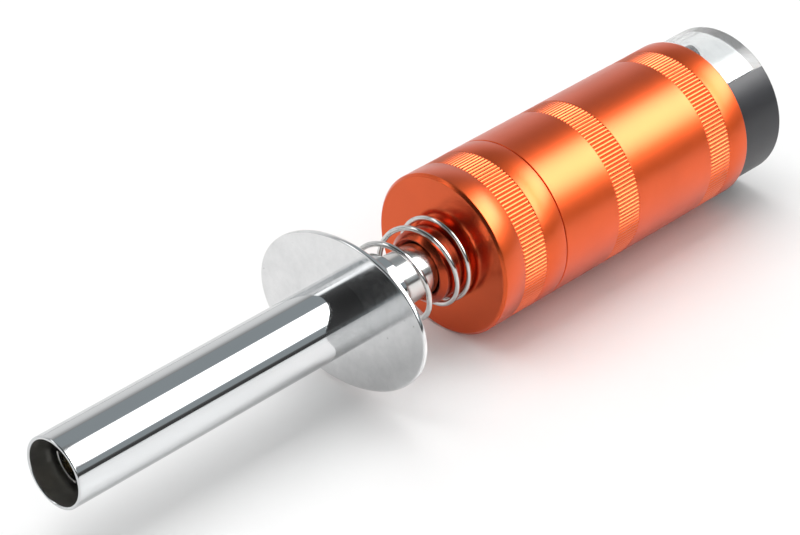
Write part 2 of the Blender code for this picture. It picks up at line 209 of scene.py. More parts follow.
class Nodes:
    """The node tree of a new material, with short calls for the nodes that the finishes share."""

    def __init__(self, name):
        self.material = bpy.data.materials.new(name)
        self.material.use_nodes = True
        self.tree = self.material.node_tree
        self.shader = self.tree.nodes["Principled BSDF"]
        self.place = self.add("ShaderNodeTexCoord").outputs["Object"]

    def add(self, kind, **settings):
        node = self.tree.nodes.new(kind)
        for key, value in settings.items():
            setattr(node, key, value)
        return node

    def join(self, output, socket):
        self.tree.links.new(output, socket)

    def set(self, **values):
        """Sets sockets of the shader that are the same all over the surface."""
        for key, value in values.items():
            self.shader.inputs[key.replace("_", " ")].default_value = value

    def scaled(self, stretch):
        """Coordinates for a pattern that is drawn out along the axes with the smaller factors."""
        mapping = self.add("ShaderNodeMapping")
        mapping.inputs["Scale"].default_value = stretch
        self.join(self.place, mapping.inputs["Vector"])
        return mapping.outputs["Vector"]

    def lathe_place(self):
        """Coordinates (station, distance from the axis), the same all round the turned piece."""
        shift = self.add("ShaderNodeVectorMath", operation="SUBTRACT")
        shift.inputs[1].default_value = (0.0, 0.0, AXIS_Z)
        self.join(self.place, shift.inputs[0])
        flat = self.add("ShaderNodeVectorMath", operation="MULTIPLY")
        flat.inputs[1].default_value = (0.0, 1.0, 1.0)
        self.join(shift.outputs[0], flat.inputs[0])
        length = self.add("ShaderNodeVectorMath", operation="LENGTH")
        self.join(flat.outputs[0], length.inputs[0])
        split = self.add("ShaderNodeSeparateXYZ")
        self.join(shift.outputs[0], split.inputs[0])
        both = self.add("ShaderNodeCombineXYZ")
        self.join(split.outputs["X"], both.inputs["X"])
        self.join(length.outputs["Value"], both.inputs["Y"])
        return both.outputs[0]

    def noise(self, size, where=None, detail=3.0, rough=0.55):
        node = self.add("ShaderNodeTexNoise")
        node.inputs["Scale"].default_value = 1.0 / size
        node.inputs["Detail"].default_value = detail
        node.inputs["Roughness"].default_value = rough
        self.join(where or self.place, node.inputs["Vector"])
        return node.outputs["Fac"]

    def spots(self, size, reach):
        """1 inside small scattered spots and 0 elsewhere."""
        cells = self.add("ShaderNodeTexVoronoi")
        cells.inputs["Scale"].default_value = 1.0 / size
        self.join(self.place, cells.inputs["Vector"])
        return self.ranged(cells.outputs["Distance"], 1.0, 0.0, 0.0, reach)

    def ranged(self, value, low, high, from_low=0.3, from_high=0.7):
        """The value moved to a new range; a noise stays mostly between 0.3 and 0.7."""
        node = self.add("ShaderNodeMapRange")
        node.inputs["From Min"].default_value = from_low
        node.inputs["From Max"].default_value = from_high
        node.inputs["To Min"].default_value = low
        node.inputs["To Max"].default_value = high
        self.join(value, node.inputs["Value"])
        return node.outputs["Result"]

    def math(self, operation, first, second):
        node = self.add("ShaderNodeMath", operation=operation)
        for socket, value in zip(node.inputs, (first, second)):
            if isinstance(value, float):
                socket.default_value = value
            else:
                self.join(value, socket)
        return node.outputs[0]

    def colours(self, value, *stops):
        """A ramp through (position, colour) stops."""
        ramp = self.add("ShaderNodeValToRGB")
        elements = ramp.color_ramp.elements
        while len(elements) < len(stops):
            elements.new(0.5)
        for element, (position, colour) in zip(elements, stops):
            element.position = position
            element.color = (*colour, 1.0)
        self.join(value, ramp.inputs["Fac"])
        self.join(ramp.outputs["Color"], self.shader.inputs["Base Color"])

    def bump(self, *heights):
        """Bumps one on another, from (value, depth) pairs."""
        normal = None
        for value, depth in heights:
            node = self.add("ShaderNodeBump")
            node.inputs["Distance"].default_value = depth
            self.join(value, node.inputs["Height"])
            if normal:
                self.join(normal, node.inputs["Normal"])
            normal = node.outputs["Normal"]
        self.join(normal, self.shader.inputs["Normal"])

    def rough(self, value):
        self.join(value, self.shader.inputs["Roughness"])


def tinted(colour, share):
    """The colour made lighter or darker."""
    return tuple(min(1.0, part * share) for part in colour)


def plain_finish(name, colour, metallic, low, high, grain, depth):
    """A finish whose colour and roughness drift, over a fine grain."""
    made = Nodes(name)
    drift = made.noise(0.004, detail=4.0)
    fine = made.noise(grain)
    made.colours(drift, (0.3, tinted(colour, 0.88)), (0.7, tinted(colour, 1.12)))
    made.rough(made.ranged(made.math("MULTIPLY", made.math("ADD", drift, fine), 0.5), low, high))
    made.bump((fine, depth))
    made.set(Metallic=metallic)
    return made.material


def anodised(name, orange, low, high):
    """Satin orange anodised aluminium, turned and blasted.

    The cap's front face and hub are glossier than the rest, and the hub's colour is darkened to a dark red
    as painted shade.
    """
    made = Nodes(name)
    cloud = made.noise(0.009, detail=3.0)
    grain = made.noise(0.00009, detail=2.0)
    lines = made.noise(0.00022, made.lathe_place(), detail=3.0)
    along = made.add("ShaderNodeSeparateXYZ")
    made.join(made.place, along.inputs[0])
    face = NOSE + CAP_FACE
    # Painted shade: on the hub the colour ramp is pulled down towards a dark red
    outside_hub_shade = made.ranged(along.outputs["X"], 0.3, 1.0, face - 0.0014, face - 0.0002)
    red, green, blue = orange
    # The dark red of the hub's painted shade
    hub_painted_shade = (0.30 * red, 0.10 * green, 0.2 * blue)
    made.colours(
        made.math("MULTIPLY", cloud, outside_hub_shade),
        (0.0, hub_painted_shade), (0.25, tinted(orange, 0.95)), (0.75, tinted(orange, 1.05)),
    )
    mixed = made.math("ADD", made.math("MULTIPLY", grain, 0.6), made.math("MULTIPLY", lines, 0.4))
    satin = made.ranged(mixed, low, high)
    off_face = made.ranged(along.outputs["X"], 0.58, 1.0, face, face + 0.0009)
    made.rough(made.math("MULTIPLY", satin, off_face))
    made.bump((lines, 0.0000012), (grain, 0.0000016))
    made.set(Metallic=1.0, Coat_Weight=0.5, Coat_Roughness=0.25, Coat_IOR=1.5)
    return made.material


def chromed(name, colour, low, high, smear):
    """Mirror plate with faint polishing lines and finger smears."""
    made = Nodes(name)
    lines = made.noise(0.00035, made.lathe_place(), detail=4.0)
    smears = made.noise(smear, made.scaled((0.35, 1.0, 1.0)), detail=5.0, rough=0.6)
    made.colours(smears, (0.3, tinted(colour, 0.97)), (0.7, tinted(colour, 1.02)))
    made.rough(made.ranged(smears, low, high, 0.35, 0.75))
    made.bump((lines, 0.00000035), (smears, 0.0000012))
    made.set(Metallic=1.0)
    return made.material


def polished_plate():
    """Polished sheet aluminium with a faint rolling grain and small pits."""
    made = Nodes("polished_aluminium")
    cloud = made.noise(0.0045, detail=5.0, rough=0.6)
    grain = made.noise(0.00012, made.scaled((1.0, 0.12, 1.0)), detail=3.0)
    pits = made.spots(0.0024, 0.075)
    mottle = made.noise(0.0011, detail=5.0, rough=0.7)
    shade = made.math("ADD", made.math("MULTIPLY", cloud, 0.6), made.math("MULTIPLY", mottle, 0.4))
    shade = made.math("SUBTRACT", shade, made.math("MULTIPLY", pits, 0.5))
    made.colours(
        shade, (0.12, (0.16, 0.155, 0.15)), (0.34, (0.80, 0.805, 0.81)), (0.62, (0.91, 0.91, 0.915)),
    )
    made.rough(made.math("ADD", made.ranged(mottle, 0.07, 0.17), made.math("MULTIPLY", pits, 0.3)))
    made.bump((grain, 0.0000009), (mottle, 0.0000022), (pits, -0.000012))
    made.set(Metallic=1.0)
    return made.material


def moulded(name, colour, low, high):
    """Moulded plastic with a fine spark texture."""
    made = Nodes(name)
    fine = made.noise(0.00012, detail=2.0)
    drift = made.noise(0.006)
    made.colours(drift, (0.3, tinted(colour, 0.88)), (0.7, tinted(colour, 1.12)))
    made.rough(made.ranged(fine, low, high))
    made.bump((fine, 0.000004))
    made.set(Metallic=0.0)
    return made.material


def clear_plastic():
    """Clear polished acrylic with faint hairlines.

    It refracts less than real acrylic, so that its end plate doesn't turn black by total reflection, and
    a clear coat gives back the real shine.
    """
    made = Nodes("clear_plastic")
    hair = made.noise(0.0009, made.scaled((1.0, 0.2, 1.0)), detail=6.0, rough=0.7)
    drift = made.noise(0.01)
    made.colours(drift, (0.3, (0.93, 0.95, 0.955)), (0.7, (0.97, 0.985, 0.985)))
    made.rough(made.ranged(hair, 0.0, 0.035, 0.5, 0.8))
    made.bump((hair, 0.0000008))
    made.set(Transmission_Weight=1.0, IOR=1.25, Alpha=0.9, Coat_Weight=1.0, Coat_IOR=1.49)
    return made.material


def winding():
    """Enamelled copper wire wound round the meter's coil."""
    made = Nodes("copper_winding")
    turns = made.add("ShaderNodeTexWave", wave_type="BANDS", bands_direction="X")
    turns.inputs["Scale"].default_value = 900.0
    turns.inputs["Distortion"].default_value = 0.4
    made.join(made.place, turns.inputs["Vector"])
    made.colours(turns.outputs["Fac"], (0.0, (0.16, 0.045, 0.02)), (0.6, (0.62, 0.21, 0.08)))
    made.rough(made.ranged(made.noise(0.0004), 0.25, 0.4))
    made.bump((turns.outputs["Fac"], 0.00006))
    made.set(Metallic=0.8, Coat_Weight=0.5)
    return made.material


# Each finish has its base colour (linear) and its roughness range. A plain finish also has how metallic it
# is, between the two, and the size and depth of its grain, after them.
ORANGE = anodised("orange_anodised", (0.78, 0.104, 0.017), 0.32, 0.41)
KNURLED = anodised("orange_knurling", (0.79, 0.122, 0.023), 0.27, 0.35)
CHROME = chromed("chrome", (0.75, 0.765, 0.775), 0.03, 0.075, 0.012)
NICKEL = chromed("nickel_plate", (0.74, 0.735, 0.72), 0.15, 0.25, 0.006)
POLISHED = polished_plate()
SPRING_STEEL = plain_finish("spring_steel", (0.72, 0.72, 0.71), 1.0, 0.04, 0.10, 0.00015, 0.0000006)
BORE_STEEL = plain_finish("satin_bore", (0.62, 0.61, 0.58), 1.0, 0.34, 0.48, 0.0002, 0.000002)
BRASS = plain_finish("brass", (0.72, 0.49, 0.19), 1.0, 0.2, 0.36, 0.0002, 0.000002)
DARK_STEEL = plain_finish("dark_steel", (0.09, 0.09, 0.10), 0.9, 0.35, 0.5, 0.0002, 0.000004)
NYLON = moulded("nylon", (0.74, 0.72, 0.64), 0.4, 0.55)
SEAL_RUBBER = moulded("seal_rubber", (0.018, 0.018, 0.019), 0.5, 0.65)
FIBRE = plain_finish("fibre", (0.42, 0.09, 0.05), 0.0, 0.6, 0.8, 0.0003, 0.00001)
WRAP = plain_finish("battery_wrap", (0.045, 0.27, 0.11), 0.0, 0.24, 0.4, 0.0006, 0.000006)
DARK_PLASTIC = moulded("dark_plastic", (0.020, 0.020, 0.024), 0.30, 0.42)
WHITE_CARD = moulded("white_card", (0.84, 0.84, 0.82), 0.45, 0.6)
PRINT = plain_finish("black_print", (0.02, 0.02, 0.022), 0.0, 0.4, 0.6, 0.0003, 0.000001)
RED_PAINT = plain_finish("red_paint", (0.62, 0.018, 0.015), 0.0, 0.25, 0.4, 0.0005, 0.000003)
CLEAR = clear_plastic()
COPPER = winding()

CAD_FINISHES = {
    "sleeve_guide_bush": NYLON,
    "clip_stop_ring": SPRING_STEEL,
    "clip_retaining_nut": BRASS,
    "tip_insulator": NYLON,
    "contact_insulator": NYLON,
    "contact_stud": BRASS,
    "battery_can": NICKEL,
    "battery_gasket": FIBRE,
    "battery_terminal": NICKEL,
    "battery_spring": BRASS,
    "rear_contact_plate": BRASS,
    "ground_ring": BRASS,
    "scale_plate": WHITE_CARD,
    "meter_coil": COPPER,
    "control_magnet": DARK_STEEL,
    "bearing_bridge": BRASS,
    "meter_needle": RED_PAINT,
    "needle_spindle": NICKEL,
    "needle_vane": DARK_STEEL,
}
for node_name, finish in CAD_FINISHES.items():
    cad_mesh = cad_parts[node_name].data
    cad_mesh.materials.clear()
    cad_mesh.materials.append(finish)


# ---------------------------------------------------------------- sleeve and flange

# Faces nearer to the axis than the bore and this much more belong to the bore
BORE_SKIN = 0.00002
sleeve = turned(
    "sleeve_tube",
    rounded(
        [
            (0.0, SLEEVE_R, 0.00028),
            (SLEEVE_END, SLEEVE_R, 0.0002),
            (SLEEVE_END, SLEEVE_BORE_R, 0.00015),
            (0.0, SLEEVE_BORE_R, 0.00024),
        ],
        segments=5,
    ),
    192, CHROME, "sleeve", "chrome", ["outer_sleeve"],
)
sleeve.data.materials.append(BORE_STEEL)
for polygon in sleeve.data.polygons:
    if math.hypot(polygon.center.y, polygon.center.z - AXIS_Z) < SLEEVE_BORE_R + BORE_SKIN:
        polygon.material_index = 1


def flange_mesh():
    """The oval plate: loops of its front face, its rounded rim and its back face."""
    edge = 0.00035
    edge_steps = 4
    steps = 192
    quarter = [math.pi / 2 * k / edge_steps for k in range(edge_steps + 1)]
    loops = [(FLANGE_AT, None)]
    for turn in quarter:
        loops.append((FLANGE_AT + edge * (1 - math.cos(turn)), edge * (1 - math.sin(turn))))
    for turn in quarter:
        loops.append((FLANGE_BACK - edge * (1 - math.sin(turn)), edge * (1 - math.cos(turn))))
    loops.append((FLANGE_BACK, None))
    verts, faces = [], []
    roll = math.radians(FLANGE_POLAR)
    for station, inset in loops:
        for i in range(steps):
            turn = math.tau * i / steps
            if inset is None:
                y, z = SLEEVE_R * math.cos(turn), SLEEVE_R * math.sin(turn)
            else:
                y, z = FLANGE_LONG_R * math.cos(turn), FLANGE_SHORT_R * math.sin(turn)
                out = Vector((FLANGE_SHORT_R * math.cos(turn), FLANGE_LONG_R * math.sin(turn)))
                out.normalize()
                y, z = y - inset * out.x, z - inset * out.y
            verts.append(
                (
                    NOSE + station,
                    y * math.cos(roll) - z * math.sin(roll),
                    AXIS_Z + y * math.sin(roll) + z * math.cos(roll),
                )
            )
    for k in range(len(loops)):
        a, b = k * steps, (k + 1) % len(loops) * steps
        for i in range(steps):
            j = (i + 1) % steps
            faces.append((a + i, a + j, b + j, b + i))
    return verts, faces


finished("flange_plate", *flange_mesh(), POLISHED, "sleeve", "polished_aluminium", ["finger_flange"])


# ---------------------------------------------------------------- springs


def wire_piece(name, points, thickness, stands_for):
    """A round spring wire on the cap, as a mesh."""
    curve = bpy.data.curves.new(name, "CURVE")
    curve.dimensions = "3D"
    curve.bevel_depth = thickness / 2
    curve.bevel_resolution = 5
    curve.use_fill_caps = True
    spline = curve.splines.new("POLY")
    spline.points.add(len(points) - 1)
    for target, point in zip(spline.points, points):
        target.co = (*point, 1.0)
    shaped = link(name, curve)
    mesh = bpy.data.meshes.new_from_object(shaped)
    bpy.data.objects.remove(shaped, do_unlink=True)
    mesh.materials.clear()
    mesh.materials.append(SPRING_STEEL)
    mesh.shade_smooth()
    mesh.set_sharp_from_angle(angle=math.radians(50))
    obj = link(name, mesh)
    dress(obj, "cap", stands_for)
    return obj


def coil_points(radius, station_at, first, last, per_turn, polar):
    """Points along a helix from the first turn to the last; polar is where turn 0 is."""
    count = round((last - first) * per_turn)
    points = []
    for i in range(count + 1):
        turn = first + (last - first) * i / count
        points.append(place(station_at(turn), radius, polar + 360.0 * turn))
    return points


SPRING_MIDDLE = (FLANGE_AT + FLANGE_THICK + CAP_FACE) / 2
SPRING_R = 0.0076
SPRING_WIRE = 0.0010
SPRING_PITCH, CLOSED_PITCH = 0.00687, 0.00115
SPRING_HALF_TURNS = 2.6
OPEN_TURNS = 0.9


def spring_station(turn):
    """Station along the return spring: open coils in the middle, closed ones at both ends."""
    away = abs(turn)
    height = SPRING_PITCH * min(away, OPEN_TURNS)
    ramp = min(max(away - OPEN_TURNS, 0.0), 1.0)
    height += SPRING_PITCH * ramp - (SPRING_PITCH - CLOSED_PITCH) * ramp**2 / 2
    height += CLOSED_PITCH * max(away - OPEN_TURNS - 1.0, 0.0)
    return SPRING_MIDDLE + math.copysign(height, turn)


spring = wire_piece(
    "return_coil",
    coil_points(SPRING_R, spring_station, -SPRING_HALF_TURNS, SPRING_HALF_TURNS, per_turn=56, polar=136.6),
    SPRING_WIRE, ["return_spring"],
)
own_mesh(spring)

CONTACT_START, CONTACT_END = 0.06635, 0.08385
CONTACT_LONG = CONTACT_END - CONTACT_START
CONTACT_R = 0.0018
CONTACT_WIRE = 0.0005
CONTACT_TURNS = 8.0


def contact_station(turn):
    """Station along the contact spring, whose coils are evenly spaced."""
    return CONTACT_START + CONTACT_LONG * turn / CONTACT_TURNS


contact = wire_piece(
    "contact_coil",
    coil_points(CONTACT_R, contact_station, 0.0, CONTACT_TURNS, per_turn=24, polar=-90.0),
    CONTACT_WIRE, ["contact_spring"],
)
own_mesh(contact)


# ---------------------------------------------------------------- clip tube and centre pin

FINGER_END = CLIP_START + 0.0240
SLOT_WIDTH = 0.0008
SLOT_HALF = math.degrees(SLOT_WIDTH / 2 / CLIP_R)
WAIST_START, WAIST, WAIST_END = CLIP_START + 0.0022, CLIP_START + 0.0030, CLIP_START + 0.0038
WAIST_DEPTH = 0.0003
COLLAR_START = CLIP_END - 0.0016
COLLAR_R = 0.0065
finger_profile = rounded(
    [
        (CLIP_START, CLIP_R, 0.0001),
        (WAIST_START, CLIP_R, 0.0),
        (WAIST, CLIP_R - WAIST_DEPTH, 0.0006),
        (WAIST_END, CLIP_R, 0.0),
        (FINGER_END, CLIP_R, 0.0),
        (FINGER_END, CLIP_BORE_R, 0.0),
        (WAIST_END, CLIP_BORE_R, 0.0),
        (WAIST, CLIP_BORE_R - WAIST_DEPTH, 0.0006),
        (WAIST_START, CLIP_BORE_R, 0.0),
        (CLIP_START, CLIP_BORE_R + 0.0001, 0.0001),
    ]
)
fingers = [
    turned_mesh(finger_profile, 24, 90.0 * n + SLOT_HALF, 90.0 - 2 * SLOT_HALF) for n in range(4)
]
finished("clip_fingers", *joined(fingers), NICKEL, "cap", "nickel", ["clip_tube"])
turned(
    "clip_shank",
    [
        (FINGER_END, CLIP_R),
        (COLLAR_START, CLIP_R),
        (COLLAR_START, COLLAR_R),
        (CLIP_END, COLLAR_R),
        (CLIP_END, CLIP_BORE_R),
        (FINGER_END, CLIP_BORE_R),
    ],
    128, NICKEL, "cap", "nickel",
)

PIN_TIP = 0.0090
PIN_R = 0.0014
PIN_HEAD_START, PIN_HEAD_END = 0.0621, 0.0660
PIN_HEAD_R = 0.0023
turned(
    "centre_pin",
    rounded(
        [
            (PIN_TIP, 0.0, 0.0),
            (PIN_TIP, PIN_R, 0.0009),
            (PIN_HEAD_START, PIN_R, 0.0),
            (PIN_HEAD_START, PIN_HEAD_R, 0.0002),
            (PIN_HEAD_END, PIN_HEAD_R, 0.0002),
            (PIN_HEAD_END, 0.0, 0.0),
        ]
    ),
    64, BRASS, "pin", "brass", ["contact_pin"],
)


# ---------------------------------------------------------------- knurled body

# How deep one ridge's outline lies below the body's radius, from groove to crest and back
RIDGE_SHAPE = (0.00020, 0.00009, 0.00003, 0.00001, 0.0, 0.00001, 0.00003, 0.00009)
RIDGE_STEPS = RIDGES * len(RIDGE_SHAPE)
# Only faces and rows within this depth of the body's outside are knurled
BAND_SKIN = 0.0004


def groove_radius(station, polar, radius):
    """The body's radius, with the grooves of the knurled bands cut into it."""
    for start, end in KNURLS.values():
        if start < station < end and radius > BODY_R - BAND_SKIN:
            step = round(polar / 360.0 * RIDGE_STEPS) % len(RIDGE_SHAPE)
            return radius - RIDGE_SHAPE[step]
    return radius


def band(name):
    """Profile corners of a knurled band: a fine line before and after it, and rows along it."""
    start, end = KNURLS[name]
    line, line_depth = 0.00010, 0.00006
    edge, edge_depth = 0.00004, 0.00003
    level, level_depth = 0.0003, 0.00002
    return [
        (start - line, BODY_R, 0.0),
        (start, BODY_R - line_depth, 0.0),
        (start + edge, BODY_R - edge_depth, 0.0),
        (start + level, BODY_R - level_depth, 0.0),
        ((start + end) / 2, BODY_R - level_depth, 0.0),
        (end - level, BODY_R - level_depth, 0.0),
        (end - edge, BODY_R - edge_depth, 0.0),
        (end, BODY_R - line_depth, 0.0),
        (end + line, BODY_R, 0.0),
    ]


def knurled(obj):
    """Gives the faces of the knurled bands their own finish."""
    obj.data.materials.append(KNURLED)
    for polygon in obj.data.polygons:
        station = polygon.center.x - NOSE
        outside = math.hypot(polygon.center.y, polygon.center.z - AXIS_Z) > BODY_R - BAND_SKIN
        if outside and any(start < station < end for start, end in KNURLS.values()):
            polygon.material_index = 1


HUB_CHAMFER = 0.0009
CAP_CHAMFER = 0.0005
CLIP_HOLE_R = CLIP_R + 0.0002
NUT_START, NUT_END = 0.0902, 0.0946
NUT_R = 0.0070
SPIGOT_R = 0.01205
SPIGOT_START, SPIGOT_END = 0.1040, 0.1098
cap_body = turned(
    "front_cap_body",
    rounded(
        [
            (HUB_FACE, HUB_R - HUB_CHAMFER, 0.0002),
            (HUB_FACE + HUB_CHAMFER, HUB_R, 0.0002),
            (CAP_FACE, HUB_R, 0.00015),
            (CAP_FACE, BODY_R - CAP_CHAMFER, 0.00012),
            (CAP_FACE + CAP_CHAMFER, BODY_R, 0.00012),
            *band("cap"),
            (CAP_END, BODY_R, 0.00016),
            (CAP_END, SPIGOT_R, 0.0),
            (SPIGOT_START, SPIGOT_R, 0.0),
            (SPIGOT_START, CAP_BORE_R, 0.0),
            (NUT_END, CAP_BORE_R, 0.0),
            (NUT_END, NUT_R, 0.0),
            (NUT_START, NUT_R, 0.0),
            (NUT_START, CLIP_HOLE_R, 0.0),
            (HUB_FACE + 0.0006, CLIP_HOLE_R, 0.0),
            (HUB_FACE, CLIP_HOLE_R + 0.0006, 0.0001),
        ]
    ),
    RIDGE_STEPS, ORANGE, "cap", "orange_anodised", ["front_cap"], radius_at=groove_radius,
)
knurled(cap_body)

BARREL_CHAMFER = 0.0006
METER_HOLE_R = METER_R + 0.00015
CELL_HOLE_R = 0.0116
SOCKET_END = 0.1106
SOCKET_R = 0.0133
barrel_body = turned(
    "barrel_body",
    rounded(
        [
            (BARREL_START, BODY_R, 0.00016),
            *band("middle"),
            *band("rear"),
            (BARREL_END - BARREL_CHAMFER, BODY_R, 0.00015),
            (BARREL_END, BODY_R - BARREL_CHAMFER, 0.00012),
            (BARREL_END, METER_HOLE_R, 0.0001),
            (METER_SEAT, METER_HOLE_R, 0.0),
            (METER_SEAT, CELL_HOLE_R, 0.0),
            (SOCKET_END, CELL_HOLE_R, 0.0),
            (SOCKET_END, SOCKET_R, 0.0),
            (BARREL_START, SOCKET_R, 0.0001),
        ]
    ),
    RIDGE_STEPS, ORANGE, "handle", "orange_anodised", ["barrel"], radius_at=groove_radius,
)
knurled(barrel_body)


THREAD_HEIGHT = 0.00034
FADE_LONG = 0.0008


def threaded(name, start, end, base_r, other_r, body):
    """An orange ring whose threaded side is at base_r and whose plain side is at other_r.

    An outside thread fades out towards its end.
    """
    rows = round((end - start) / THREAD_PITCH * 12)
    stations = [start + (end - start) * i / rows for i in range(rows + 1)]
    wall = [(station, base_r) for station in stations]
    back = [(end, other_r), (start, other_r)]
    outside = base_r > other_r
    profile = wall + back if outside else list(reversed(wall)) + list(reversed(back))

    def radius_at(station, polar, radius):
        if radius != base_r:
            return radius
        along = (station / THREAD_PITCH - polar / 360.0) % 1.0
        crest = 1.0 - abs(2.0 * along - 1.0)
        fade = min(1.0, max(0.0, (end - station) / FADE_LONG)) if outside else 1.0
        return radius + THREAD_HEIGHT * min(1.0, max(0.0, 1.25 * crest - 0.12)) * fade

    turned(name, profile, 120, ORANGE, body, "orange_anodised", radius_at=radius_at)


CAP_ROOT_R, BARREL_ROOT_R = 0.01238, 0.01250
threaded("front_cap_thread", SPIGOT_START, SPIGOT_END, CAP_ROOT_R, CAP_BORE_R, "cap")
threaded("barrel_thread", SPIGOT_START + 0.0004, SOCKET_END, BARREL_ROOT_R, SOCKET_R, "handle")


def circle(station, centre_r, section_r, sides):
    """The round section of a ring."""
    points = []
    for i in range(sides):
        angle = math.pi - math.tau * i / sides
        points.append((station + section_r * math.cos(angle), centre_r + section_r * math.sin(angle)))
    return points


SEAL_AT, SEAL_RING_R, SEAL_SECTION_R = 0.10325, 0.01265, 0.0005
turned(
    "cap_o_ring", circle(SEAL_AT, SEAL_RING_R, SEAL_SECTION_R, 20),
    160, SEAL_RUBBER, "seal", "seal_rubber", ["cap_seal"],
)

CELL_START, CELL_END = 0.0990, 0.1408
CELL_R = 0.0112
WRAP_THICK = 0.0002
WRAP_LIP_R = 0.0090
turned(
    "battery_skin",
    rounded(
        [
            (CELL_START, WRAP_LIP_R, 0.0),
            (CELL_START, CELL_R, 0.0006),
            (CELL_END, CELL_R, 0.0006),
            (CELL_END, WRAP_LIP_R, 0.0),
            (CELL_END - WRAP_THICK, WRAP_LIP_R, 0.0),
            (CELL_END - WRAP_THICK, CELL_R - WRAP_THICK, 0.0004),
            (CELL_START + WRAP_THICK, CELL_R - WRAP_THICK, 0.0004),
            (CELL_START + WRAP_THICK, WRAP_LIP_R, 0.0),
        ]
    ),
    128, WRAP, "handle", "battery_wrap", ["battery_wrap"],
)


# ---------------------------------------------------------------- meter

METER_BASE_START = METER_SEAT + 0.0007
METER_BASE_WALL = 0.0015
METER_JOINT = 0.0001
POST_R = 0.0020
POST_END = METER_FLOOR + 0.0052
POST_CENTRE_R = 0.0099
POST_POLARS = (58.0, 122.0)
floor_disc = turned_mesh(
    rounded(
        [
            (METER_BASE_START, 0.0, 0.0),
            (METER_BASE_START, METER_R, 0.0001),
            (METER_FLOOR, METER_R, 0.0001),
            (METER_FLOOR, 0.0, 0.0),
        ]
    ),
    144,
)
SPLIT = math.degrees(METER_JOINT / METER_R)
shell = turned_mesh(
    rounded(
        [
            (METER_FLOOR, METER_R, 0.0),
            (METER_END, METER_R, 0.0004),
            (METER_END, 0.0, 0.0),
            (METER_END - METER_BASE_WALL, 0.0, 0.0),
            (METER_END - METER_BASE_WALL, METER_R - METER_WALL, 0.0003),
            (METER_FLOOR, METER_R - METER_WALL, 0.0),
        ],
        segments=4,
    ),
    96, DIAL_UP + 90.0 + SPLIT, 180.0 - 2 * SPLIT,
)


def post_mesh(polar):
    """A dark post that stands on the meter's floor, under the window."""
    centre_y = POST_CENTRE_R * math.cos(math.radians(polar))
    centre_z = POST_CENTRE_R * math.sin(math.radians(polar))
    verts, faces = turned_mesh(
        rounded(
            [
                (METER_FLOOR - 0.001, 0.0, 0.0),
                (METER_FLOOR - 0.001, POST_R, 0.0),
                (POST_END, POST_R, 0.0003),
                (POST_END, 0.0, 0.0),
            ]
        ),
        40,
    )
    return [(x, y + centre_y, z + centre_z) for x, y, z in verts], faces


posts = [post_mesh(DIAL_UP - 90.0 + polar) for polar in POST_POLARS]
finished(
    "meter_case", *joined([floor_disc, shell, *posts]), DARK_PLASTIC, "handle", "dark_plastic",
    ["meter_base"],
)
lens = turned(
    "meter_lens",
    rounded(
        [
            (METER_FLOOR + METER_JOINT, METER_R, 0.0001),
            (METER_END, METER_R, 0.0004),
            (METER_END, 0.0, 0.0),
            (METER_END - WINDOW_WALL, 0.0, 0.0),
            (METER_END - WINDOW_WALL, METER_R - METER_WALL, 0.0004),
            (METER_FLOOR + METER_JOINT, METER_R - METER_WALL, 0.0),
        ],
        segments=5,
    ),
    128, CLEAR, "handle", "clear_plastic", ["meter_window"],
    start=DIAL_UP - 90.0 + SPLIT, sweep=180.0 - 2 * SPLIT,
)
lens.visible_shadow = False

DIAL_FACE = METER_FLOOR + 0.0008
SCALE_START, SCALE_SWEEP = -40.0, 80.0
SCALE_LAST = 5
TICKS_PER_NUMBER = 4
SCALE_R = 0.0096
LONG_TICK_R, SHORT_TICK_R = 0.0083, 0.0088
LONG_TICK_WIDTH, SHORT_TICK_WIDTH = 0.00022, 0.00012
ARC_WIDTH = 0.0002
NUMBER_R = 0.0070
NUMBER_SIZE = 0.0019
PRINT_HEIGHT = 0.00004


def dial_point(up, side, above=0.0):
    """A point on the scale from its height up the dial and its distance to the reader's right."""
    angle = math.radians(DIAL_UP)
    return Vector(
        (
            NOSE + DIAL_FACE + above,
            up * math.cos(angle) + side * math.sin(angle),
            AXIS_Z + up * math.sin(angle) - side * math.cos(angle),
        )
    )


def scale_turn(share):
    """The angle on the scale, in radians, of a share of its full reading."""
    return math.radians(SCALE_START + SCALE_SWEEP * share)


def on_scale(radius, turn):
    """Height up the dial and distance to the right of a place on the scale."""
    return radius * math.cos(turn) - PIVOT_DROP, radius * math.sin(turn)


def mark_mesh(corners):
    """A thin raised patch of print with the given corners (up, side)."""
    count = len(corners)
    verts = [tuple(dial_point(up, side, 0.000005)) for up, side in corners]
    verts += [tuple(dial_point(up, side, PRINT_HEIGHT)) for up, side in corners]
    faces = [tuple(range(count)), tuple(reversed(range(count, 2 * count)))]
    for i in range(count):
        j = (i + 1) % count
        faces.append((i, i + count, j + count, j))
    return verts, faces


def scale_marks():
    """The tick marks and the arc under them."""
    marks = []
    last_tick = TICKS_PER_NUMBER * SCALE_LAST
    turns = [scale_turn(tick / last_tick) for tick in range(last_tick + 1)]
    for tick, turn in enumerate(turns):
        is_long = tick % TICKS_PER_NUMBER == 0
        inner_r = LONG_TICK_R if is_long else SHORT_TICK_R
        width = LONG_TICK_WIDTH if is_long else SHORT_TICK_WIDTH
        across = Vector((-math.sin(turn), math.cos(turn))) * width / 2
        inner = Vector(on_scale(inner_r, turn))
        outer = Vector(on_scale(SCALE_R, turn))
        corners = [inner - across, inner + across, outer + across, outer - across]
        marks.append(mark_mesh([tuple(corner) for corner in corners]))
    arc = [on_scale(SCALE_R, turn) for turn in turns]
    arc += [on_scale(SCALE_R + ARC_WIDTH, turn) for turn in reversed(turns)]
    marks.append(mark_mesh(arc))
    return joined(marks)


finished("scale_marks", *scale_marks(), PRINT, "handle", "dark_plastic")


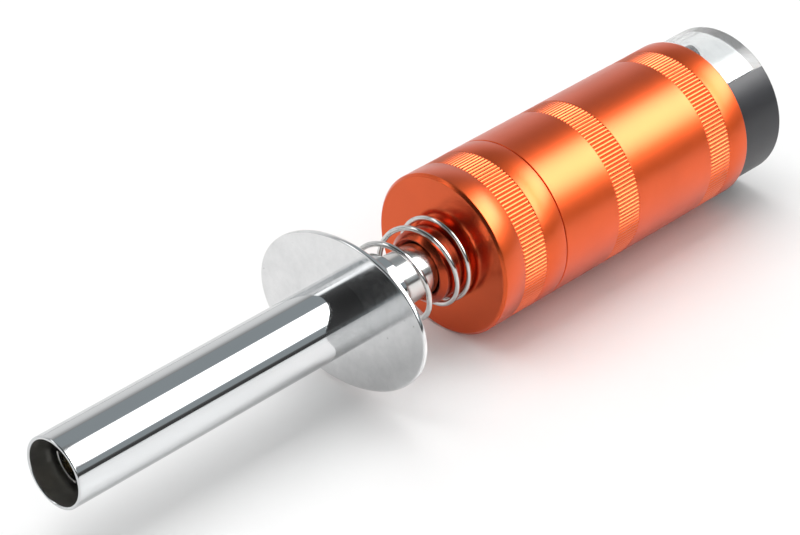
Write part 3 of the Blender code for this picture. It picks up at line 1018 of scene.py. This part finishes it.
def scale_number(value):
    """A printed number that reads upright on the dial."""
    text = bpy.data.curves.new(f"number_{value}", "FONT")
    text.body = str(value)
    text.size = NUMBER_SIZE
    text.extrude = 0.00002
    text.align_x = "CENTER"
    text.align_y = "CENTER"
    shaped = link(f"scale_number_{value}", text)
    graph = bpy.context.evaluated_depsgraph_get()
    mesh = bpy.data.meshes.new_from_object(shaped.evaluated_get(graph))
    bpy.data.objects.remove(shaped, do_unlink=True)
    up, side = on_scale(NUMBER_R, scale_turn(value / SCALE_LAST))
    right = dial_point(0.0, 1.0) - dial_point(0.0, 0.0)
    upward = dial_point(1.0, 0.0) - dial_point(0.0, 0.0)
    outward = Vector((1.0, 0.0, 0.0))
    rotation = Matrix((right, upward, outward)).transposed().to_4x4()
    mesh.transform(Matrix.Translation(dial_point(up, side, 0.00003)) @ rotation)
    mesh.materials.clear()
    mesh.materials.append(PRINT)
    dress(link(f"scale_number_{value}", mesh), "handle")


for value in range(SCALE_LAST + 1):
    scale_number(value)


# ---------------------------------------------------------------- floor, light and camera


def card_look(name, profile):
    """A glowing material; profile gives (place across the card, strength) stops."""
    made = Nodes(name)
    made.set(Base_Color=(0.0, 0.0, 0.0, 1.0), Specular_IOR_Level=0.0)
    made.set(Emission_Color=(1.0, 1.0, 1.0, 1.0))
    across = made.add("ShaderNodeSeparateXYZ")
    made.join(made.add("ShaderNodeTexCoord").outputs["UV"], across.inputs[0])
    ramp = made.add("ShaderNodeFloatCurve")
    curve = ramp.mapping.curves[0]
    peak = max(strength for _, strength in profile)
    while len(curve.points) < len(profile):
        curve.points.new(0.5, 0.5)
    for point, (where, strength) in zip(curve.points, profile):
        point.location = (where, strength / peak)
    ramp.mapping.update()
    made.join(across.outputs["Y"], ramp.inputs["Value"])
    made.join(made.math("MULTIPLY", ramp.outputs[0], peak), made.shader.inputs["Emission Strength"])
    return made.material


TWIST_FROM = 0.51


def long_card(name, polars, distance, xs, *profile, twist=0.0):
    """A card bent round the igniter's axis, between two polar angles and two places along it.

    It shows only in reflections. The twist turns it about the axis, in degrees per metre beyond TWIST_FROM.
    """
    pieces = 16
    verts, faces = [], []
    for i in range(pieces + 1):
        x = xs[0] + (xs[1] - xs[0]) * i / pieces
        for k in range(pieces + 1):
            polar = polars[0] + (polars[1] - polars[0]) * k / pieces
            angle = math.radians(polar + twist * (x - TWIST_FROM))
            verts.append((x, distance * math.cos(angle), AXIS_Z + distance * math.sin(angle)))
            if i and k:
                here = len(verts) - 1
                faces.append((here, here - 1, here - pieces - 2, here - pieces - 1))
    mesh = bpy.data.meshes.new(name)
    mesh.from_pydata(verts, [], faces)
    layer = mesh.uv_layers.new(name="across")
    for loop, spot in zip(mesh.loops, layer.data):
        spot.uv = (0.0, loop.vertex_index % (pieces + 1) / pieces)
    mesh.materials.append(card_look(name, profile))
    obj = link(name, mesh)
    obj.visible_camera = False
    obj.visible_diffuse = False
    obj.visible_shadow = False


FLOOR_HALF = 4.0
corners = [(-FLOOR_HALF, -FLOOR_HALF, 0), (FLOOR_HALF, -FLOOR_HALF, 0)]
corners += [(FLOOR_HALF, FLOOR_HALF, 0), (-FLOOR_HALF, FLOOR_HALF, 0)]
floor_mesh = bpy.data.meshes.new("floor")
floor_mesh.from_pydata(corners, [], [(0, 1, 2, 3)])
floor_look = Nodes("white_sweep")
floor_fine = floor_look.noise(0.0015, detail=4.0)
split = floor_look.add("ShaderNodeSeparateXYZ")
floor_look.join(floor_look.place, split.inputs[0])
# Painted shade: the floor's colour is a little darker towards the camera's side (lower X + Y)
painted_falloff = floor_look.ranged(
    floor_look.math("ADD", split.outputs["X"], split.outputs["Y"]), 0.90, 0.93, -0.24, -0.03,
)
shade = floor_look.math("MULTIPLY", floor_look.ranged(floor_look.noise(0.05), 0.985, 1.0), painted_falloff)
# Painted shade: the floor is darker in the metal's reflections, except in rays that have gone through the
# clear window
path = floor_look.add("ShaderNodeLightPath")
mirrored = floor_look.math("SUBTRACT", path.outputs["Is Glossy Ray"], path.outputs["Is Transmission Ray"])
shade = floor_look.math("MULTIPLY", shade, floor_look.ranged(mirrored, 1.0, 0.80, 0.0, 1.0))
floor_look.colours(shade, (0.0, (0.0, 0.0, 0.0)), (1.0, (1.0, 1.0, 1.0)))
floor_look.rough(floor_look.ranged(floor_fine, 0.42, 0.5))
floor_look.bump((floor_fine, 0.00001))
floor_mesh.materials.append(floor_look.material)
link("floor", floor_mesh)

long_card(
    "softbox", (91.0, 153.0), 0.9, (-0.05, 1.35),
    (0.0, 0.7), (0.06, 2.6), (0.22, 6.2), (0.5, 8.8), (0.75, 7.4), (0.93, 3.2), (1.0, 0.7), twist=-20.0,
)
long_card("back_card", (1.0, 46.0), 1.1, (-0.8, 2.0), (0.0, 0.78), (0.6, 0.70), (0.8, 0.5), (1.0, 0.26))
long_card("dark_flag", (169.0, 180.4), 0.8, (-0.6, 1.6), (0.0, 0.2), (0.4, 0.06), (1.0, 0.08))
long_card("front_card", (28.0, 58.0), 1.2, (-1.7, -0.12), (0.0, 0.6), (0.5, 1.7), (1.0, 0.9))
long_card("camera_side", (60.0, 172.0), 1.0, (-1.7, -0.10), (0.0, 0.20), (0.2, 0.05), (1.0, 0.06))
long_card("nose_flag", (84.0, 158.0), 0.88, (0.34, 0.432), (0.0, 0.24), (1.0, 0.24))


def aimed(obj, at, direction):
    """Puts a light or a camera somewhere and turns it to look along a direction."""
    obj.location = at
    obj.rotation_mode = "QUATERNION"
    obj.rotation_quaternion = direction.to_track_quat("-Z", "Y")


# A soft square light above and behind, aimed at the igniter
TOP_LIGHT_AT = Vector((0.0, 0.34, 1.15))
top_light = bpy.data.lights.new("top_light", "AREA")
top_light.shape = "RECTANGLE"
top_light.size, top_light.size_y = 1.15, 1.15
top_light.energy = 8.0
top_light_obj = link("top_light", top_light)
aimed(top_light_obj, TOP_LIGHT_AT, -TOP_LIGHT_AT)
top_light_obj.visible_camera = False
top_light_obj.visible_glossy = False

# The world is grey in reflections, dimmer than white as light, and pale behind the floor
world = bpy.data.worlds.new("studio")
world.use_nodes = True
tree = world.node_tree
grey = tree.nodes["Background"]
grey.inputs["Color"].default_value = (0.285, 0.315, 0.33, 1.0)
pale = tree.nodes.new("ShaderNodeBackground")
pale.inputs["Color"].default_value = (0.93, 0.93, 0.93, 1.0)
dim = tree.nodes.new("ShaderNodeBackground")
dim.inputs["Color"].default_value = (0.75, 0.75, 0.745, 1.0)
which = tree.nodes.new("ShaderNodeLightPath")
seen = grey.outputs[0]
for ray, ground in (("Is Diffuse Ray", dim), ("Is Camera Ray", pale)):
    chooser = tree.nodes.new("ShaderNodeMixShader")
    tree.links.new(which.outputs[ray], chooser.inputs[0])
    tree.links.new(seen, chooser.inputs[1])
    tree.links.new(ground.outputs[0], chooser.inputs[2])
    seen = chooser.outputs[0]
tree.links.new(seen, tree.nodes["World Output"].inputs["Surface"])
bpy.context.scene.world = world
bpy.context.scene.view_settings.view_transform = "Standard"

# Solved from the photographed rims, bands and silhouettes
CAMERA_AT = (NOSE - 0.270156, -0.341301, AXIS_Z + 0.322952)
CAMERA_AZIMUTH = math.radians(44.511)
CAMERA_DOWN = math.radians(33.374)
camera_direction = Vector(
    (
        math.cos(CAMERA_DOWN) * math.cos(CAMERA_AZIMUTH),
        math.cos(CAMERA_DOWN) * math.sin(CAMERA_AZIMUTH),
        -math.sin(CAMERA_DOWN),
    )
)
camera_data = bpy.data.cameras.new("camera")
camera_data.sensor_width = 36.0
camera_data.lens = 155.67
camera = link("camera", camera_data)
aimed(camera, CAMERA_AT, camera_direction)
bpy.context.scene.camera = camera
